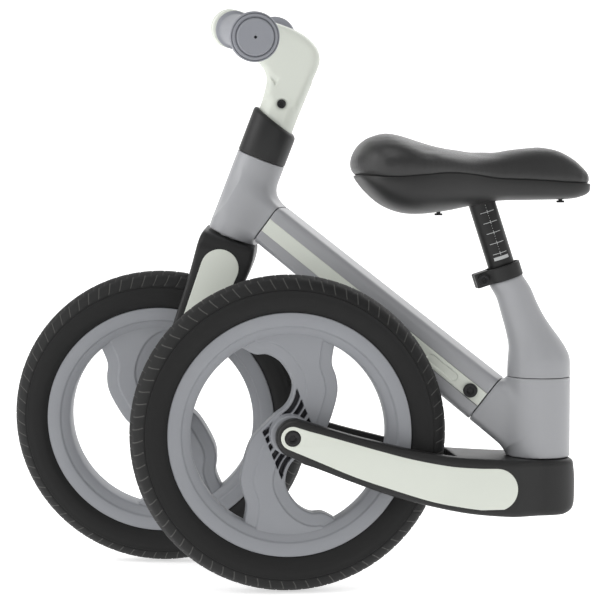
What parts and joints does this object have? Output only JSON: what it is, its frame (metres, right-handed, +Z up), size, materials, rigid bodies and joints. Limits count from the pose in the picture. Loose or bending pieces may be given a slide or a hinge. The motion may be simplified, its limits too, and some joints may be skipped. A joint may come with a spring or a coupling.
{
  "type": "balance bike",
  "caption": "Folding child's balance bike with S-spoke wheels, a sloping frame tube, a T handlebar and a height-adjustable saddle, folded at its upright hinge.",
  "frame": {"origin": "centre of the flat foot of the rear fork, on the fold axis, 72 mm over the ground", "axes": "+Z up along the fold axis, -X towards the handlebar, -Y the side the rear wheel folds to"},
  "size_m": [0.578, 0.3752, 0.571],
  "materials": {
    "grey_enamel": "satin powder coat",
    "white_plastic": "moulded, semi gloss",
    "black_casting": "moulded, fine texture",
    "rim_plastic": "moulded, satin",
    "tyre_rubber": "moulded tread",
    "grip_rubber": "soft, matt",
    "steel": "zinc plated",
    "black_steel": "black oxide",
    "post_enamel": "black powder coat",
    "nylon": "natural nylon",
    "saddle_leather": "fine grained synthetic leather",
    "base_plastic": "moulded, satin"
  },
  "bodies": {
    "frame": {"head_tube": "grey_enamel", "down_tube": "grey_enamel", "hub": "grey_enamel", "tube_inlay_left": "white_plastic", "tube_inlay_right": "white_plastic", "tube_bolts": "black_steel", "headset_bushes": "nylon", "hub_bushes": "nylon", "lock_sleeve": "steel", "lock_spring": "steel"},
    "lock": {"lock_plunger": "steel", "lock_knob": "black_casting"},
    "steering": {"fork": "black_casting", "fork_inlay_left": "white_plastic", "fork_inlay_right": "white_plastic", "steerer_tube": "steel", "collar": "black_casting", "stem": "white_plastic", "stem_screws": "black_steel", "handlebar": "steel", "grip_left": "grip_rubber", "grip_right": "grip_rubber", "front_axle": "steel", "front_axle_bolts": "black_steel", "front_axle_spacers": "steel"},
    "front_wheel": {"front_rim": "rim_plastic", "front_tyre": "tyre_rubber", "front_bearings": "steel", "front_sleeve": "steel"},
    "rear": {"rear_fork": "black_casting", "arm_inlay_left": "white_plastic", "arm_inlay_right": "white_plastic", "seat_tube": "grey_enamel", "fold_shaft": "steel", "fold_bolt": "steel", "seat_clamp": "black_steel", "clamp_bolt": "black_steel", "clamp_nut": "steel", "rear_axle": "steel", "rear_axle_bolts": "black_steel", "rear_axle_spacers": "steel"},
    "rear_wheel": {"rear_rim": "rim_plastic", "rear_tyre": "tyre_rubber", "rear_bearings": "steel", "rear_sleeve": "steel"},
    "seat": {"seat_post": "post_enamel", "saddle_base": "base_plastic", "saddle_pad": "saddle_leather", "saddle_screws": "steel", "post_screw": "steel"}
  },
  "joints": [
    {"name": "steering_turn", "type": "hinge", "parent": "frame", "child": "steering", "pos_m": [-0.384, 0, 0.078], "axis": [0.3746, 0, 0.9272], "range_deg": [-30, 45]},
    {"name": "fold", "type": "hinge", "parent": "frame", "child": "rear", "pos_m": [0, 0, 0], "axis": [0, 0, 1], "range_deg": [0, 158]},
    {"name": "front_wheel_spin", "type": "hinge", "parent": "steering", "child": "front_wheel", "pos_m": [-0.384, 0, 0.078], "axis": [-0.24, 0.9659, 0.097], "continuous": true},
    {"name": "rear_wheel_spin", "type": "hinge", "parent": "rear", "child": "rear_wheel", "pos_m": [-0.22345, -0.09028, 0.078], "axis": [0.3746, -0.9272, 0], "continuous": true},
    {"name": "seat_height", "type": "slide", "parent": "rear", "child": "seat", "axis": [-0.2865, -0.1158, 0.9511], "range_m": [-0.045, 0]},
    {"name": "lock_pull", "type": "slide", "parent": "frame", "child": "lock", "axis": [0, 1, 0], "range_m": [0, 0.005], "stiffness_N_per_m": 900, "springref_m": -0.006, "deforming": ["lock_spring"]}
  ]
}
